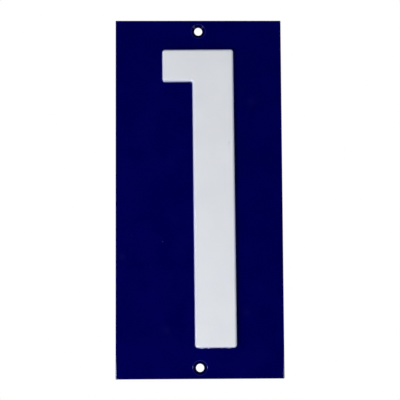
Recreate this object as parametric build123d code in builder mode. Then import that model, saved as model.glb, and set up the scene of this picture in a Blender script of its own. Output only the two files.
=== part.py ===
from build123d import *
from math import atan, degrees, radians, sin, tan
import os

os.makedirs("parts", exist_ok=True)

# A single-digit house number plaque: one steel sheet, pressed and enamelled, held flat on a wall by two screws.
# Sizes are in millimetres and angles in degrees.
# X runs to the right and Z up. The back lies in the plane Y = 0, and the front faces -Y.
# The origin is midway between the two screw holes.

# Sheet, with its coats of enamel
plate_width = 70.0
plate_height = 151.0
plate_thickness = 1.6
edge_rounding = 0.35

# Numeral, measured round its foot: an upright stem with a flag to the left of its top
numeral_width = 30.1
stem_width = 17.5
flag_height = 13.8
inner_corner_radius = 0.9
face_corner_radius = 0.15  # outer corners of the flat face, inside the rounded shoulder
numeral_clearance = 5.0  # from the dish of each screw hole to the numeral, which fills the height between them
numeral_lean = 0.3  # the pressing sits very slightly anticlockwise on the sheet

# Section of the pressing
relief_height = 2.5
wall_slope = 84.0  # between the wall and the sheet
shoulder_radius = 1.0
foot_radius = 0.4
hollow_floor_radius = 0.3

# Screw holes, on the centre line near the top and bottom edges, dished from the front
hole_diameter = 3.4
hole_edge_distance = 4.6
dish_diameter = 6.2
dish_depth = 0.8
dish_rounding = 0.3
hole_rounding = 0.15

# Both bends of the wall turn by the wall's slope. A rounding there reaches back from its corner
# by its radius times bend_reach, so the sloping length of the wall limits the two radii that share it.
bend_reach = tan(radians(wall_slope / 2))
wall_run = relief_height / tan(radians(wall_slope))
wall_length = relief_height / sin(radians(wall_slope))
shared_radius = 0.95 * wall_length / bend_reach
front_shoulder_radius = min(shoulder_radius, shared_radius - foot_radius)
outer_corner_radius = face_corner_radius + front_shoulder_radius * bend_reach + wall_run

# The hollow keeps the sheet's thickness round the pressing, so its outline lies inside that of the front
hollow_inset = plate_thickness * bend_reach
hollow_mouth_radius = min(foot_radius + plate_thickness, shared_radius - hollow_floor_radius)
hollow_corner_radius = face_corner_radius + hollow_floor_radius * bend_reach + wall_run

hole_spacing = plate_height - 2 * hole_edge_distance
numeral_height = hole_spacing - dish_diameter - 2 * numeral_clearance
dish_angle = 2 * degrees(atan((dish_diameter - hole_diameter) / 2 / dish_depth))

# Planes that face the front. The numeral's are turned by its lean.
back_plane = Plane.XZ
front_plane = back_plane.offset(plate_thickness)
numeral_back_plane = back_plane.rotated((0, -numeral_lean, 0))
numeral_front_plane = front_plane.rotated((0, -numeral_lean, 0))


def numeral_outline(plane, inset, outer_radius, inner_radius):
    """Outline of the numeral on a plane, drawn in by the inset all round."""
    left = inset - numeral_width / 2
    right = numeral_width / 2 - inset
    top = numeral_height / 2 - inset
    bottom = inset - numeral_height / 2
    stem_left = numeral_width / 2 - stem_width + inset
    flag_bottom = numeral_height / 2 - flag_height + inset
    inner_corner = (stem_left, flag_bottom)
    with BuildSketch(plane) as outline:
        with BuildLine():
            Polyline(
                (left, top),
                (right, top),
                (right, bottom),
                (stem_left, bottom),
                inner_corner,
                (left, flag_bottom),
                close=True,
            )
        make_face()
        fillet(outline.vertices().sort_by_distance(inner_corner)[1:], radius=outer_radius)
        fillet(outline.vertices().sort_by_distance(inner_corner)[0], radius=inner_radius)
    return outline.sketch


with BuildPart() as plate:
    # Flat sheet, its cut edges softened by the enamel
    with BuildSketch(back_plane):
        Rectangle(plate_width, plate_height)
    extrude(amount=plate_thickness)
    fillet(plate.edges(), radius=edge_rounding)

    # Numeral raised from the front, with steep walls, a small foot and a soft shoulder
    front_outline = numeral_outline(numeral_front_plane, 0, outer_corner_radius, inner_corner_radius)
    extrude(front_outline, amount=relief_height, taper=90 - wall_slope)
    fillet(plate.edges(Select.LAST).group_by(Axis.Y)[-1], radius=foot_radius)
    fillet(plate.edges().group_by(Axis.Y)[0], radius=front_shoulder_radius)

    # Matching hollow that the pressing leaves in the back
    back_outline = numeral_outline(
        numeral_back_plane, hollow_inset, hollow_corner_radius, inner_corner_radius + hollow_inset
    )
    extrude(back_outline, amount=relief_height, taper=90 - wall_slope, mode=Mode.SUBTRACT)
    fillet(plate.edges(Select.LAST).group_by(Axis.Y)[0], radius=hollow_floor_radius)
    back_face = plate.faces().sort_by(Axis.Y)[-1]
    fillet(back_face.inner_wires()[0].edges(), radius=hollow_mouth_radius)

    # Dished screw holes, with the enamel rounded over the rim of each dish and both lips of each hole
    with Locations(front_plane):
        with GridLocations(0, hole_spacing, 1, 2):
            CounterSinkHole(
                radius=hole_diameter / 2,
                counter_sink_radius=dish_diameter / 2,
                counter_sink_angle=dish_angle,
            )
    hole_edges = plate.edges(Select.LAST).filter_by(GeomType.CIRCLE)
    fillet(hole_edges.group_by(SortBy.RADIUS)[0], radius=hole_rounding)
    rim_edges = plate.edges().filter_by(GeomType.CIRCLE).filter_by(
        lambda edge: abs(edge.radius - dish_diameter / 2) < 0.001
    )
    fillet(rim_edges, radius=dish_rounding)

plate.part.label = "plate"
export_step(plate.part, "parts/plate.step")
print("volume", round(plate.part.volume, 2), "mm3")
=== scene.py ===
from math import atan2, cos, hypot, pi, radians, sin, tan

import bpy
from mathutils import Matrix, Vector


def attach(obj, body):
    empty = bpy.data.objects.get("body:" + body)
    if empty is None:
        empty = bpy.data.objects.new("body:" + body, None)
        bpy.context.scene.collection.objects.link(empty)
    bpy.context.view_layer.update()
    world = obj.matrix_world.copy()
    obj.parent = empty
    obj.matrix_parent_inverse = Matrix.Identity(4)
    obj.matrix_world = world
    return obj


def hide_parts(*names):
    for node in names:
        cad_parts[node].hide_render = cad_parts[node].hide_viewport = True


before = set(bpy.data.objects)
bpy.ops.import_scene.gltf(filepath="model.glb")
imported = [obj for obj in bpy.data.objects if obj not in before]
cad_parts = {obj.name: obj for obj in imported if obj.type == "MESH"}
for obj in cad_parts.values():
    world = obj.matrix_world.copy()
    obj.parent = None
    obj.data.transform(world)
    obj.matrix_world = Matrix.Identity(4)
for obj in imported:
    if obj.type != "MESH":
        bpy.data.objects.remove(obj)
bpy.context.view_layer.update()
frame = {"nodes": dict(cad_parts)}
print("frame loaded:", ", ".join(frame["nodes"]))

# Camera, a little below and left of the plaque's middle
cameraSetup = {
    "place": (-0.01394, -0.60166, -0.06231),
    "turn": (95.830, 0.329, -1.329),  # degrees
    "lens": 129.6,  # millimetres
    "pictureWidth": 36,  # millimetres, behind the lens
}

camera = bpy.data.objects.new("camera", bpy.data.cameras.new("camera"))
bpy.context.scene.collection.objects.link(camera)
camera.location = cameraSetup["place"]
camera.rotation_euler = [radians(angle) for angle in cameraSetup["turn"]]
camera.data.lens = cameraSetup["lens"]
camera.data.sensor_width = cameraSetup["pictureWidth"]
bpy.context.scene.camera = camera

faceFront = (radians(90), 0, 0)  # turns a new flat shape to face the front, which is -Y
squareOn = 0.99  # a face is square to an axis where its normal runs along it by more than this


def startEditing(selectMode):
    bpy.ops.object.mode_set(mode="EDIT")
    bpy.ops.mesh.select_mode(type=selectMode)
    bpy.ops.mesh.select_all(action="DESELECT")


def pickFaces(piece, test):
    startEditing("FACE")
    bpy.ops.object.mode_set(mode="OBJECT")
    for face in piece.data.polygons:
        face.select = test(face)
    bpy.ops.object.mode_set(mode="EDIT")


def pickCorners(piece, test):
    startEditing("VERT")
    bpy.ops.object.mode_set(mode="OBJECT")
    for corner in piece.data.vertices:
        corner.select = test(corner.co)
    bpy.ops.object.mode_set(mode="EDIT")


# Adds a node with its settings; an input is given a value or another node's output
def addNode(tree, kind, inputs=None, **settings):
    node = tree.nodes.new(kind)
    for name, value in settings.items():
        setattr(node, name, value)
    for name, value in (inputs or {}).items():
        if isinstance(value, bpy.types.NodeSocket):
            tree.links.new(value, node.inputs[name])
        else:
            node.inputs[name].default_value = value
    return node


def addMath(tree, operation, *values):
    return addNode(tree, "ShaderNodeMath", dict(enumerate(values)), operation=operation).outputs[0]


def addLength(tree, vector):
    return addNode(tree, "ShaderNodeVectorMath", {0: vector}, operation="LENGTH").outputs["Value"]


# Rises softly from 0, where the value is "start", to the top, where it is "end"
def addRamp(tree, value, start, end, top=1.0):
    return addNode(
        tree, "ShaderNodeMapRange",
        {"Value": value, "From Min": start, "From Max": end, "To Max": top},
        interpolation_type="SMOOTHSTEP",
    ).outputs[0]


# Runs evenly from low to high as a mask goes from 0 to 1
def addSpan(tree, mask, low, high):
    return addNode(
        tree, "ShaderNodeMapRange", {"Value": mask, "To Min": low, "To Max": high}
    ).outputs[0]


# A Mix node takes its two colours at 6 and 7 and gives their blend at 2
def blendColours(tree, mask, below, above):
    return addNode(
        tree, "ShaderNodeMix", {0: mask, 6: below, 7: above}, data_type="RGBA"
    ).outputs[2]


# 1 for what the eye sees straight, mirrored or through glass, and 0 for light that falls on something
def addSeen(tree):
    rays = addNode(tree, "ShaderNodeLightPath").outputs
    mirrored = addMath(tree, "MAXIMUM", rays["Is Camera Ray"], rays["Is Glossy Ray"])
    return addMath(tree, "MAXIMUM", mirrored, rays["Is Transmission Ray"])


# An empty material for what stands round the plaque, with its Object coordinates
def newPaint(name):
    paint = bpy.data.materials.new(name)
    paint.use_nodes = True
    tree = paint.node_tree
    tree.nodes.clear()
    return paint, tree, addNode(tree, "ShaderNodeTexCoord").outputs["Object"]


# World: white to the eye and in reflections, softer as a light
worldSetup = {"seen": 1.0, "light": 0.285}
plainWhite = (1, 1, 1, 1)

world = bpy.data.worlds.new("studio")
bpy.context.scene.world = world
world.use_nodes = True
tree = world.node_tree
strength = addSpan(tree, addSeen(tree), worldSetup["light"], worldSetup["seen"])
tree.nodes["Background"].inputs["Color"].default_value = plainWhite
tree.links.new(strength, tree.nodes["Background"].inputs["Strength"])

# Floor, well under the plaque, which hangs free. To the eye it is white, with the plaque's shadow,
# and it runs out into the white of the world.
floorSetup = {
    "height": -0.3,
    "radius": 1.2,
    "corners": 96,
    "grey": 0.86,
    "whiten": 2.6,  # how much paler the eye sees it
    "fadeFrom": 0.5,
    "fadeTo": 1.1,
}

bpy.ops.object.select_all(action="DESELECT")
bpy.ops.mesh.primitive_circle_add(
    vertices=floorSetup["corners"], radius=floorSetup["radius"], fill_type="NGON",
    location=(0, 0, floorSetup["height"]),
)
floor = bpy.context.object
floor.name = "floor"
paint, tree, place = newPaint("floorPaint")
seen = addSeen(tree)
plain = floorSetup["grey"]
pale = floorSetup["grey"] * floorSetup["whiten"]
tone = blendColours(tree, seen, (plain, plain, plain, 1), (pale, pale, pale, 1))
matt = addNode(tree, "ShaderNodeBsdfDiffuse", {"Color": tone})
fade = addRamp(tree, addLength(tree, place), floorSetup["fadeFrom"], floorSetup["fadeTo"])
faded = addMath(tree, "MULTIPLY", fade, seen)
white = addNode(tree, "ShaderNodeEmission", {"Color": plainWhite, "Strength": 1.0})
both = addNode(tree, "ShaderNodeMixShader", {0: faded, 1: matt.outputs[0], 2: white.outputs[0]})
addNode(tree, "ShaderNodeOutputMaterial", {"Surface": both.outputs[0]})
floor.data.materials.append(paint)

# Black hoods before and behind the plaque, open towards it, which only the gloss sees
hoods = [
    {"name": "frontHood", "low": (-0.45, -0.5, -0.29), "high": (0.45, -0.006, 0.45), "open": 1},
    {"name": "rearHood", "low": (-0.45, 0.003, -0.29), "high": (0.45, 0.5, 0.45), "open": -1},
]
unseen = []  # by the camera: the hoods, cards and flags

black = bpy.data.materials.new("black")
black.use_nodes = True
black.node_tree.nodes["Principled BSDF"].inputs["Base Color"].default_value = (0, 0, 0, 1)
black.node_tree.nodes["Principled BSDF"].inputs["Specular IOR Level"].default_value = 0

for setup in hoods:
    low, high = Vector(setup["low"]), Vector(setup["high"])
    bpy.ops.object.select_all(action="DESELECT")
    bpy.ops.mesh.primitive_cube_add(size=1, location=(low + high) / 2)
    hood = bpy.context.object
    hood.name = setup["name"]
    hood.scale = high - low
    bpy.ops.object.transform_apply(location=True, rotation=True, scale=True)
    pickFaces(hood, lambda face: face.normal.y * setup["open"] > squareOn)
    bpy.ops.mesh.delete(type="ONLY_FACE")
    bpy.ops.object.mode_set(mode="OBJECT")
    hood.data.materials.append(black)
    unseen.append(hood)

# Cards that only the gloss sees: a bright one on each side that glints on the rim of the lower dish,
# a dim ring about the middle, a wide one lying low on each side, and one behind that shows the hollow
# of the back. Each is a disc, given by its half width and half height. As shares of these, it fades
# from "fade" out to its rim, and is dark within "hollow", which is below 0 where it has none.
cards = [
    {
        "name": "leftCard", "place": (-0.135, -0.25, -0.086), "facing": (0, 0, 0),
        "reach": (0.035, 0.022), "hollow": -1.0, "fade": 0.3, "strength": 90.0,
    },
    {
        "name": "rightCard", "place": (0.135, -0.25, -0.086), "facing": (0, 0, 0),
        "reach": (0.035, 0.022), "hollow": -1.0, "fade": 0.3, "strength": 70.0,
    },
    {
        "name": "ringCard", "place": (0.006, -0.26, 0.027), "facing": (0.006, 0, 0.027),
        "reach": (0.2, 0.2), "hollow": 0.65, "fade": 0.85, "strength": 1.5,
    },
    {
        "name": "lowLeftCard", "place": (-0.3, -0.3, -0.112), "facing": (-0.3, -0.3, 1),
        "reach": (0.17, 0.17), "hollow": -1.0, "fade": 0.0, "strength": 1.0,
    },
    {
        "name": "lowRightCard", "place": (0.3, -0.3, -0.112), "facing": (0.3, -0.3, 1),
        "reach": (0.17, 0.17), "hollow": -1.0, "fade": 0.0, "strength": 1.5,
    },
    {
        "name": "rearCard", "place": (0.03, 0.3, -0.02), "facing": (0, 0, 0),
        "reach": (0.14, 0.14), "hollow": -1.0, "fade": 0.3, "strength": 2.5,
    },
]
cardCorners = 64
cardTint = (0.74, 0.76, 1.0, 1)
hollowBlend = 0.1

for card in cards:
    bpy.ops.object.select_all(action="DESELECT")
    bpy.ops.mesh.primitive_circle_add(vertices=cardCorners, radius=1, fill_type="NGON")
    disc = bpy.context.object
    disc.name = card["name"]
    disc.scale = (*card["reach"], 1)
    disc.location = card["place"]
    facing = Vector(card["facing"]) - disc.location
    disc.rotation_euler = facing.to_track_quat("Z", "Y").to_euler()
    paint, tree, place = newPaint(card["name"] + "Paint")
    away = addLength(tree, place)
    outer = addRamp(tree, away, 1.0, card["fade"], card["strength"])
    inner = addRamp(tree, away, card["hollow"], card["hollow"] + hollowBlend)
    power = addMath(tree, "MULTIPLY", outer, inner)
    glow = addNode(tree, "ShaderNodeEmission", {"Color": cardTint, "Strength": power})
    addNode(tree, "ShaderNodeOutputMaterial", {"Surface": glow.outputs[0]})
    disc.data.materials.append(paint)
    unseen.append(disc)

# Small black flags between the side cards and the plaque: the lower pair keeps their glint off the foot
# of the numeral's lower corners, and the upper pair softens it on the upper dish
flags = [
    {"name": "lowerLeftFlag", "place": (-0.0098, -0.015, -0.0634), "reach": (0.0034, 0.0025)},
    {"name": "lowerRightFlag", "place": (0.0218, -0.015, -0.0634), "reach": (0.0034, 0.0025)},
    {"name": "upperLeftFlag", "place": (-0.108, -0.2, -0.052), "reach": (0.03, 0.0165)},
    {"name": "upperRightFlag", "place": (0.108, -0.2, -0.052), "reach": (0.03, 0.0165)},
]
flagCorners = 32

for setup in flags:
    bpy.ops.object.select_all(action="DESELECT")
    bpy.ops.mesh.primitive_circle_add(
        vertices=flagCorners, radius=1, fill_type="NGON", location=setup["place"], rotation=faceFront
    )
    flag = bpy.context.object
    flag.name = setup["name"]
    flag.scale = (*setup["reach"], 1)
    flag.data.materials.append(black)
    unseen.append(flag)

for piece in unseen:
    piece.visible_camera = False
    piece.visible_diffuse = False
    piece.visible_shadow = False

# Lamps: a soft key low on the left in front, a weak one on each side that grazes the sheet and lights
# the walls of the numeral, and a fill above behind. The gloss doesn't see them.
# Angles are in degrees, and "halfWidth" is how wide half the lamp looks from the plaque.
lamps = [
    {
        "name": "key", "azimuth": 38.0, "elevation": -16.0,
        "distance": 0.65, "halfWidth": 9.0, "power": 2.7,
    },
    {
        "name": "leftSide", "azimuth": 78.0, "elevation": 0.0,
        "distance": 0.7, "halfWidth": 8.0, "power": 0.7,
    },
    {
        "name": "rightSide", "azimuth": -78.0, "elevation": 0.0,
        "distance": 0.7, "halfWidth": 8.0, "power": 1.1,
    },
    {
        "name": "fill", "azimuth": 150.0, "elevation": 35.0,
        "distance": 1.0, "halfWidth": 20.0, "power": 12.0,
    },
]

for setup in lamps:
    lamp = bpy.data.objects.new(setup["name"], bpy.data.lights.new(setup["name"], "AREA"))
    bpy.context.scene.collection.objects.link(lamp)
    aside, up = radians(setup["azimuth"]), radians(setup["elevation"])
    towards = Vector((-sin(aside) * cos(up), -cos(aside) * cos(up), sin(up)))
    lamp.location = towards * setup["distance"]
    lamp.rotation_euler = (-lamp.location).to_track_quat("-Z", "Y").to_euler()
    lamp.data.shape = "DISK"
    lamp.data.size = 2 * setup["distance"] * tan(radians(setup["halfWidth"]))
    lamp.data.energy = setup["power"]
    lamp.visible_camera = False
    lamp.visible_glossy = False
print("stage set:", len(lamps), "lamps,", len(cards), "cards")

# The plaque is modelled in millimetres and brought down to metres at the end.
# Its section: flat sheet, small foot, steep wall, soft shoulder, flat face.
plaqueShape = {
    "width": 70.0,
    "height": 151.0,
    "thickness": 1.6,
    "edgeRounding": 0.35,
    "numeralWidth": 30.1,
    "numeralHeight": 125.6,
    "stemWidth": 17.5,
    "flagHeight": 13.8,
    "lean": 0.3,  # degrees anticlockwise
    "relief": 2.5,
    "wallSlope": 84.0,  # degrees
    "wallShare": 0.95,  # of the wall, that the two roundings of the hollow may take up
    "shoulder": 1.0,
    "foot": 0.4,
    "faceCorner": 0.15,
    "innerCorner": 0.9,
    "hollowFloor": 0.3,
    "holeRadius": 1.7,
    "holeInset": 4.6,
    "dishRadius": 3.1,
    "dishDepth": 0.8,
    "dishRounding": 0.3,
    "holeRounding": 0.15,
}
# Steps round each curve
fineness = {
    "shoulder": 10,
    "foot": 6,
    "corner": 8,
    "edge": 5,
    "hole": 64,
    "rim": 5,
}
# How near counts as the same, in millimetres, and the limits for an edge and a face
tolerance = {
    "pick": 0.01,
    "flat": 0.001,
    "merge": 0.001,
    "spareEdge": 1.0,  # degrees: an edge that turns by less is dissolved
    "flatArea": 1000,  # square millimetres: only the sheet's two flats have more
}
perMetre = 1000
slope = radians(plaqueShape["wallSlope"])
bend = tan(slope / 2)  # a rounding of the wall reaches back from its corner by this share of its radius
wallRun = plaqueShape["relief"] / tan(slope)
slant = plaqueShape["relief"] / sin(slope)
holeHeight = plaqueShape["height"] / 2 - plaqueShape["holeInset"]


# A flat face in the numeral's outline, grown all round, with its outer and inner corners rounded
def makeNumeralFace(name, depth, grow, cornerRadius, innerRadius):
    shape, near = plaqueShape, tolerance["pick"]
    left, right = -shape["numeralWidth"] / 2 - grow, shape["numeralWidth"] / 2 + grow
    bottom, top = -shape["numeralHeight"] / 2 - grow, shape["numeralHeight"] / 2 + grow
    stemLeft = shape["numeralWidth"] / 2 - shape["stemWidth"] - grow
    flagBottom = shape["numeralHeight"] / 2 - shape["flagHeight"] - grow
    bpy.ops.object.select_all(action="DESELECT")
    bpy.ops.mesh.primitive_plane_add(
        size=1, location=((stemLeft + right) / 2, depth, (bottom + top) / 2), rotation=faceFront
    )
    piece = bpy.context.object
    piece.name = name
    piece.scale = (right - stemLeft, top - bottom, 1)
    bpy.ops.object.transform_apply(location=True, rotation=True, scale=True)
    # the stem is cut level with the flag's lower edge, and the flag is drawn out of it to the left
    bpy.ops.object.mode_set(mode="EDIT")
    bpy.ops.mesh.select_all(action="SELECT")
    bpy.ops.mesh.bisect(plane_co=(0, depth, flagBottom), plane_no=(0, 0, 1))
    pickCorners(piece, lambda spot: spot.x < stemLeft + near and spot.z > flagBottom - near)
    bpy.ops.mesh.extrude_region_move(TRANSFORM_OT_translate={"value": (left - stemLeft, 0, 0)})
    bpy.ops.mesh.select_all(action="SELECT")
    bpy.ops.mesh.dissolve_limited(angle_limit=radians(tolerance["spareEdge"]))
    inner = Vector((stemLeft, depth, flagBottom))
    for radius, isInner in ((cornerRadius, False), (innerRadius, True)):
        pickCorners(piece, lambda spot: ((spot - inner).length < near) == isInner)
        bpy.ops.mesh.bevel(offset=radius, segments=fineness["corner"], affect="VERTICES")
    pickFaces(piece, lambda face: True)
    return piece


# Presses the face up from the sheet by inset after inset: foot, wall and shoulder
def makePressing(name, depth, lowRadius, highRadius, grow, cornerRadius, innerRadius):
    straight = slant - (lowRadius + highRadius) * bend
    steps = []
    for step in range(1, fineness["foot"] + 1):
        angle = slope * step / fineness["foot"]
        steps.append((lowRadius * sin(angle), lowRadius * (1 - cos(angle))))
    for part in (0.5, 1):  # half-way up the wall, and its top
        steps.append((
            lowRadius * sin(slope) + straight * cos(slope) * part,
            lowRadius * (1 - cos(slope)) + straight * sin(slope) * part,
        ))
    along, up = steps[-1]
    for step in range(1, fineness["shoulder"] + 1):
        angle = slope * (1 - step / fineness["shoulder"])
        steps.append((
            along + highRadius * (sin(slope) - sin(angle)),
            up + highRadius * (cos(angle) - cos(slope)),
        ))
    piece = makeNumeralFace(name, depth, grow, cornerRadius, innerRadius)
    for before, after in zip([(0, 0)] + steps, steps):
        bpy.ops.mesh.inset(
            thickness=after[0] - before[0], depth=after[1] - before[1], use_even_offset=True
        )
    bpy.ops.object.mode_set(mode="OBJECT")
    piece.rotation_euler.y = -radians(plaqueShape["lean"])
    return piece


# Radius and depth of each ring of a screw hole, from the rim of its dish through to the back
def holeSection():
    shape, turns = plaqueShape, fineness["rim"]
    rise, spread = shape["dishDepth"], shape["dishRadius"] - shape["holeRadius"]
    rim, lip, thick = shape["dishRounding"], shape["holeRounding"], shape["thickness"]
    tilt = atan2(rise, spread)
    start = shape["dishRadius"] + rim * tan(tilt / 2)
    section = []
    for step in range(turns + 1):
        angle = tilt * step / turns
        section.append((start - rim * sin(angle), rim * (1 - cos(angle))))
    deep = rise + lip * tan((pi / 2 - tilt) / 2)
    for step in range(turns):
        angle = tilt + (pi / 2 - tilt) * step / (turns - 1)
        section.append((shape["holeRadius"] + lip * (1 - sin(angle)), deep - lip * cos(angle)))
    for step in range(turns):
        angle = pi / 2 * step / (turns - 1)
        section.append((shape["holeRadius"] + lip * (1 - cos(angle)), thick - lip * (1 - sin(angle))))
    return section


def makeHole(height):
    section = holeSection()
    bpy.ops.object.select_all(action="DESELECT")
    bpy.ops.mesh.primitive_circle_add(
        vertices=fineness["hole"], radius=section[0][0], fill_type="NOTHING",
        location=(0, -plaqueShape["thickness"], height), rotation=faceFront,
    )
    ring = bpy.context.object
    bpy.ops.object.transform_apply(location=True, rotation=True, scale=True)
    startEditing("EDGE")
    bpy.ops.mesh.select_all(action="SELECT")
    for before, after in zip(section, section[1:]):
        bpy.ops.mesh.extrude_edges_move(TRANSFORM_OT_translate={"value": (0, after[1] - before[1], 0)})
        ratio = after[0] / before[0]
        bpy.ops.transform.resize(value=(ratio, 1, ratio), center_override=(0, 0, height))
    bpy.ops.object.mode_set(mode="OBJECT")
    return ring


# The sheet without its two flats, which are filled in once the pressings and the holes are there
def makeSheet():
    shape = plaqueShape
    bpy.ops.object.select_all(action="DESELECT")
    bpy.ops.mesh.primitive_cube_add(size=1, location=(0, -shape["thickness"] / 2, 0))
    sheet = bpy.context.object
    sheet.name = "plaque"
    sheet.scale = (shape["width"], shape["thickness"], shape["height"])
    bpy.ops.object.transform_apply(location=True, rotation=True, scale=True)
    bpy.ops.object.mode_set(mode="EDIT")
    bpy.ops.mesh.select_all(action="SELECT")
    bpy.ops.mesh.bevel(offset=shape["edgeRounding"], segments=fineness["edge"], affect="EDGES")
    pickFaces(sheet, lambda face: abs(face.normal.y) > squareOn and face.area > tolerance["flatArea"])
    bpy.ops.mesh.delete(type="ONLY_FACE")
    bpy.ops.object.mode_set(mode="OBJECT")
    return sheet


# Fills the flat between the open edges that lie at one depth
def fillFlat(sheet, depth):
    startEditing("EDGE")
    bpy.ops.mesh.select_non_manifold(
        extend=False, use_wire=True, use_boundary=True,
        use_multi_face=False, use_non_contiguous=False, use_verts=False,
    )
    bpy.ops.object.mode_set(mode="OBJECT")
    points = sheet.data.vertices
    for edge in sheet.data.edges:
        away = max(abs(points[corner].co.y - depth) for corner in edge.vertices)
        edge.select = edge.select and away < tolerance["flat"]
    bpy.ops.object.mode_set(mode="EDIT")
    bpy.ops.mesh.fill(use_beauty=True)
    bpy.ops.object.mode_set(mode="OBJECT")


def makePlaque():
    shape = plaqueShape
    thick, foot = shape["thickness"], shape["foot"]
    sheet = makeSheet()
    reach = foot * bend
    corner = shape["faceCorner"] + shape["shoulder"] * bend + wallRun + reach
    innerCorner = shape["innerCorner"] - reach
    front = makePressing("front", -thick, foot, shape["shoulder"], reach, corner, innerCorner)
    # the hollow lies inside the numeral's outline, so that the sheet keeps its thickness there
    lead = thick * bend
    mouth = min(foot + thick, shape["wallShare"] * slant / bend - shape["hollowFloor"])
    reach = mouth * bend
    corner = shape["faceCorner"] + shape["hollowFloor"] * bend + wallRun + reach
    innerCorner = shape["innerCorner"] + lead - reach
    back = makePressing("back", 0, mouth, shape["hollowFloor"], reach - lead, corner, innerCorner)
    parts = [front, back, makeHole(holeHeight), makeHole(-holeHeight), sheet]
    bpy.ops.object.select_all(action="DESELECT")
    for part in parts:
        part.select_set(True)
    bpy.context.view_layer.objects.active = sheet
    bpy.ops.object.transform_apply(location=True, rotation=True, scale=True)
    bpy.ops.object.join()
    fillFlat(sheet, -thick)
    fillFlat(sheet, 0)
    bpy.ops.object.mode_set(mode="EDIT")
    bpy.ops.mesh.select_all(action="SELECT")
    bpy.ops.mesh.remove_doubles(threshold=tolerance["merge"])
    bpy.ops.mesh.normals_make_consistent(inside=False)
    bpy.ops.object.mode_set(mode="OBJECT")
    bpy.ops.object.shade_smooth()
    sheet.modifiers.new("evenShade", "WEIGHTED_NORMAL")
    bpy.ops.object.modifier_apply(modifier="evenShade")
    sheet.scale = [1 / perMetre] * 3
    bpy.ops.object.transform_apply(location=True, rotation=True, scale=True)
    return sheet


plaque = makePlaque()
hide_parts("plate")
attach(plaque, "root")
print("plaque modelled:", len(plaque.data.vertices), "points,", len(plaque.data.polygons), "faces")

# Effects that the finishes share, as node groups on Object coordinates. Lengths are in metres.
effectLook = {
    "cloudDetail": 3.0,
    "cloudLow": 0.3,  # the noise between these two fills the mask
    "cloudHigh": 0.7,
    "peelDetail": 1.0,
}
asVector, asNumber = "NodeSocketVector", "NodeSocketFloat"


# An empty group that takes the given inputs and puts out one value, with its two ends
def newGroup(name, inputs, output, outputKind):
    group = bpy.data.node_groups.new(name, "ShaderNodeTree")
    for socket, kind in inputs.items():
        group.interface.new_socket(socket, in_out="INPUT", socket_type=kind)
    group.interface.new_socket(output, in_out="OUTPUT", socket_type=outputKind)
    return group, group.nodes.new("NodeGroupInput").outputs, group.nodes.new("NodeGroupOutput").inputs


# Even swell of the fired glass, as a mask from 0 to 1
def makeCloud():
    group, given, out = newGroup("cloud", {"Vector": asVector, "Size": asNumber}, "Mask", asNumber)
    swell = addNode(group, "ShaderNodeTexNoise", {
        "Vector": given["Vector"],
        "Scale": addMath(group, "DIVIDE", 1.0, given["Size"]),
        "Detail": effectLook["cloudDetail"],
    })
    mask = addRamp(group, swell.outputs["Fac"], effectLook["cloudLow"], effectLook["cloudHigh"])
    group.links.new(mask, out["Mask"])
    return group


# Orange peel, as a normal
def makePeel():
    group, given, out = newGroup(
        "peel", {"Vector": asVector, "Size": asNumber, "Depth": asNumber}, "Normal", asVector
    )
    swell = addNode(group, "ShaderNodeTexNoise", {
        "Vector": given["Vector"],
        "Scale": addMath(group, "DIVIDE", 1.0, given["Size"]),
        "Detail": effectLook["peelDetail"],
    })
    bump = addNode(group, "ShaderNodeBump", {"Distance": given["Depth"], "Height": swell.outputs["Fac"]})
    group.links.new(bump.outputs[0], out["Normal"])
    return group


# Scattered flecks: one in each cell of a loose grid, of which only a share is kept
def makeFlecks():
    group, given, out = newGroup(
        "flecks", {"Vector": asVector, "Spacing": asNumber, "Radius": asNumber, "Share": asNumber},
        "Mask", asNumber,
    )
    cells = addNode(group, "ShaderNodeTexVoronoi", {
        "Vector": given["Vector"],
        "Scale": addMath(group, "DIVIDE", 1.0, given["Spacing"]),
    })
    away = addMath(group, "MULTIPLY", cells.outputs["Distance"], given["Spacing"])
    dot = addRamp(group, away, given["Radius"], 0.0)
    dice = addNode(group, "ShaderNodeSeparateColor", {"Color": cells.outputs["Color"]})
    kept = addMath(group, "LESS_THAN", dice.outputs[0], given["Share"])
    group.links.new(addMath(group, "MULTIPLY", dot, kept), out["Mask"])
    return group


# One round mark at a place on the plaque, through its whole depth
def makeSpot():
    group, given, out = newGroup(
        "spot", {"Vector": asVector, "Centre": asVector, "Inner": asNumber, "Outer": asNumber},
        "Mask", asNumber,
    )
    withoutDepth = (1, 0, 1)
    offset = addNode(
        group, "ShaderNodeVectorMath", {0: given["Vector"], 1: given["Centre"]}, operation="SUBTRACT"
    )
    flat = addNode(
        group, "ShaderNodeVectorMath", {0: offset.outputs[0], 1: withoutDepth}, operation="MULTIPLY"
    )
    mask = addRamp(group, addLength(group, flat.outputs[0]), given["Outer"], given["Inner"])
    group.links.new(mask, out["Mask"])
    return group


cloud, peel, flecks, spot = makeCloud(), makePeel(), makeFlecks(), makeSpot()


def placeGroup(tree, group, inputs):
    return addNode(tree, "ShaderNodeGroup", inputs, node_tree=group).outputs[0]


# All marks of a list as one mask
def addMarks(tree, place, marks):
    total = None
    for x, z, inner, outer, amount in marks:
        mask = placeGroup(tree, spot, {
            "Vector": place,
            "Centre": (x / perMetre, 0, z / perMetre),
            "Inner": inner / perMetre,
            "Outer": outer / perMetre,
        })
        part = addMath(tree, "MULTIPLY", mask, amount)
        total = part if total is None else addMath(tree, "MAXIMUM", total, part)
    return total


# A round mark on both dishes: whole up to one distance from the dish's edge, and gone from another
def addDishMarks(tree, place, whole, gone, amount):
    inner, outer = plaqueShape["dishRadius"] + whole, plaqueShape["dishRadius"] + gone
    return addMarks(tree, place, [(0, z, inner, outer, amount) for z in (holeHeight, -holeHeight)])


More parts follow.
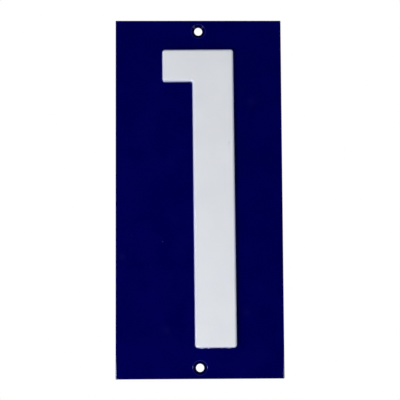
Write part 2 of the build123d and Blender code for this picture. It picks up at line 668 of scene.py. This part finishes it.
# A finish on the Principled shader, with the Object coordinates that its patterns read
def newFinish(name):
    finish = bpy.data.materials.new(name)
    finish.use_nodes = True
    place = addNode(finish.node_tree, "ShaderNodeTexCoord").outputs["Object"]
    return finish, finish.node_tree, finish.node_tree.nodes["Principled BSDF"], place


# Gloss that varies with the swell, and the orange peel
def addSurface(tree, coat, place, swell, look):
    sheen = addSpan(tree, swell, look["roughnessLow"], look["roughnessHigh"])
    tree.links.new(sheen, coat.inputs["Roughness"])
    skin = placeGroup(tree, peel, {
        "Vector": place, "Size": look["peelSize"], "Depth": look["peelDepth"],
    })
    tree.links.new(skin, coat.inputs["Normal"])


# Enamel of the front: blue cover coat, and white on the numeral from a little above the sheet.
# Lengths are in metres.
enamelLook = {
    "blueDeep": (0.0, 0.0, 0.066, 1),
    "bluePale": (0.0, 0.0, 0.076, 1),
    "blueShadedAndThin": (0.0, 0.0, 0.022, 1),  # painted shade and thinner coat in the dishes, and thin coat on the cut edges
    "blueRimHighlight": (0.007, 0.007, 0.15, 1),  # painted highlight: a fine paler ring round each dish
    "white": (0.72, 0.74, 0.78, 1),
    "whiteShade": (0.70, 0.72, 0.765, 1),
    "dust": (0.03, 0.03, 0.12, 1),
    "whiteBelowFace": (0.40, 0.44, 0.80, 1),  # bluer and darker down the shoulder and the wall
    "belowFaceTint": 0.6,
    "belowFaceReach": 0.0010,  # below the face
    "flaw": (0.45, 0.46, 0.5, 1),
    "cloudSize": 0.012,
    "edgeFrom": 0.0003,  # in from the edges of the sheet
    "edgeTo": 0.00002,
    "whiteFrom": 0.0005,  # above the sheet
    "whiteBlend": 0.00012,
    "whiteWobble": 0.0002,
    "wobbleSize": 0.004,
    "runDepth": 0.0004,
    "peelSize": 0.0022,
    "peelDepth": 0.000006,
    "roughnessLow": 0.05,
    "roughnessHigh": 0.09,
}
# Marks in the enamel, in millimetres: x and z, inner and outer radius, and strength.
# Those of the dishes have two distances from the dish's edge, and strength.
enamelMarks = {
    "dust": [
        (-15.4, -18.4, 0.05, 0.45, 0.8),
        (-20.5, -29.2, 0.05, 0.35, 0.5),
        (-25.4, 27.2, 0.05, 0.35, 0.5),
        (-28.4, -15.8, 0.05, 0.35, 0.5),
        (-32.1, -24.6, 0.2, 2.4, 0.06),
        (19.4, -48.1, 0.2, 2.4, 0.05),
        (-13.9, -55.4, 0.2, 3.0, 0.05),
        (22.3, 40.7, 0.2, 3.0, 0.05),
    ],
    "runs": [
        (3.6, -62.8, 0.1, 0.9, 1.0),
        (9.1, -62.8, 0.1, 0.7, 1.0),
        (0.8, -62.8, 0.2, 2.0, 0.8),
        (12.0, -62.8, 0.2, 2.0, 0.8),
    ],
    "flaws": [
        (12.6, 22.9, 0.1, 0.7, 0.35),
        (12.3, 21.9, 0.05, 0.5, 0.25),
    ],
    # painted highlight: a paler ring round the rim of each dish
    "dishRimHighlight": (0.05, 0.25, 0.5),
    # painted shade and thinner coat in each dish
    "dishShadeAndThin": (-0.5, -0.05, 0.9),
}


# Blue, with a painted highlight as a paler ring round each dish, painted shade and a thinner coat in the
# dishes, thinner over the cut edges, and dusty
def addBlue(tree, place, axes, swell):
    look, shape = enamelLook, plaqueShape
    blue = blendColours(tree, swell, look["blueDeep"], look["bluePale"])
    # Painted highlight: a paler ring round each dish
    blue = blendColours(tree, addDishMarks(tree, place, *enamelMarks["dishRimHighlight"]), blue, look["blueRimHighlight"])
    # Painted shade and thinner coat in the dishes; below, a thin coat over the cut edges
    tintMask = addDishMarks(tree, place, *enamelMarks["dishShadeAndThin"])
    for axis, size in (("X", shape["width"]), ("Z", shape["height"])):
        extent = size / 2 / perMetre
        away = addMath(tree, "ABSOLUTE", axes[axis])
        edge = addRamp(tree, away, extent - look["edgeFrom"], extent - look["edgeTo"])
        tintMask = addMath(tree, "MAXIMUM", tintMask, edge)
    blue = blendColours(tree, tintMask, blue, look["blueShadedAndThin"])
    return blendColours(tree, addMarks(tree, place, enamelMarks["dust"]), blue, look["dust"])


# White, with a small flaw on its right shoulder, bluer and darker the farther it is below the face
def addWhite(tree, place, axes, swell):
    look, shape = enamelLook, plaqueShape
    white = blendColours(tree, swell, look["white"], look["whiteShade"])
    white = blendColours(tree, addMarks(tree, place, enamelMarks["flaws"]), white, look["flaw"])
    face = shape["relief"] / perMetre
    above = addMath(tree, "SUBTRACT", -shape["thickness"] / perMetre, axes["Y"])
    below = addNode(tree, "ShaderNodeMapRange", {
        "Value": above, "From Min": face, "From Max": face - look["belowFaceReach"],
    })
    tintMask = addMath(tree, "MULTIPLY", addMath(tree, "SQRT", below.outputs[0]), look["belowFaceTint"])
    return blendColours(tree, tintMask, white, look["whiteBelowFace"])


# Where the white lies: from a height above the sheet that wavers a little, and lower where it has run
def addWhiteMask(tree, place, axes):
    look = enamelLook
    sheetFront = -plaqueShape["thickness"] / perMetre
    wobble = placeGroup(tree, cloud, {"Vector": place, "Size": look["wobbleSize"]})
    level = addMath(tree, "MULTIPLY_ADD", wobble, look["whiteWobble"], sheetFront)
    level = addMath(tree, "SUBTRACT", level, axes["Y"])
    runs = addMarks(tree, place, enamelMarks["runs"])
    level = addMath(tree, "MULTIPLY_ADD", runs, look["runDepth"], level)
    start = look["whiteFrom"] + (look["whiteWobble"] - look["whiteBlend"]) / 2
    end = look["whiteFrom"] + (look["whiteWobble"] + look["whiteBlend"]) / 2
    return addRamp(tree, level, start, end)


def makeEnamel():
    finish, tree, coat, place = newFinish("coverCoat")
    axes = addNode(tree, "ShaderNodeSeparateXYZ", {0: place}).outputs
    swell = placeGroup(tree, cloud, {"Vector": place, "Size": enamelLook["cloudSize"]})
    blue = addBlue(tree, place, axes, swell)
    white = addWhite(tree, place, axes, swell)
    colour = blendColours(tree, addWhiteMask(tree, place, axes), blue, white)
    tree.links.new(colour, coat.inputs["Base Color"])
    addSurface(tree, coat, place, swell, enamelLook)
    return finish


# Dark ground coat of the back and of the bores, mottled and flecked. Lengths are in metres.
groundLook = {
    "dark": (0.005, 0.006, 0.013, 1),
    "pale": (0.009, 0.011, 0.023, 1),
    "fleck": (0.11, 0.12, 0.15, 1),
    "cloudSize": 0.0022,
    "fleckSpacing": 0.0021,
    "fleckRadius": 0.00034,
    "fleckShare": 0.45,
    "peelSize": 0.0016,
    "peelDepth": 0.00002,
    "roughnessLow": 0.28,
    "roughnessHigh": 0.45,
    "specular": 0.35,
    "pastLip": 1.2,  # how far out from a bore it comes, as a share of the rounding of its lip
    "backward": 0.05,  # it covers what faces back by more than this
}


def makeGroundCoat():
    look = groundLook
    finish, tree, coat, place = newFinish("groundCoat")
    swell = placeGroup(tree, cloud, {"Vector": place, "Size": look["cloudSize"]})
    dots = placeGroup(tree, flecks, {
        "Vector": place,
        "Spacing": look["fleckSpacing"],
        "Radius": look["fleckRadius"],
        "Share": look["fleckShare"],
    })
    colour = blendColours(tree, swell, look["dark"], look["pale"])
    colour = blendColours(tree, dots, colour, look["fleck"])
    tree.links.new(colour, coat.inputs["Base Color"])
    coat.inputs["Specular IOR Level"].default_value = look["specular"]
    addSurface(tree, coat, place, swell, look)
    return finish


plaque.data.materials.append(makeEnamel())
plaque.data.materials.append(makeGroundCoat())
lipReach = plaqueShape["holeRounding"] * groundLook["pastLip"]
boreReach = (plaqueShape["holeRadius"] + lipReach) / perMetre
for face in plaque.data.polygons:
    inBore = hypot(face.center.x, abs(face.center.z) - holeHeight / perMetre) < boreReach
    face.material_index = 1 if inBore or face.normal.y > groundLook["backward"] else 0
print("plaque painted:", ", ".join(material.name for material in plaque.data.materials))

bpy.context.scene.view_settings.view_transform = "Standard"
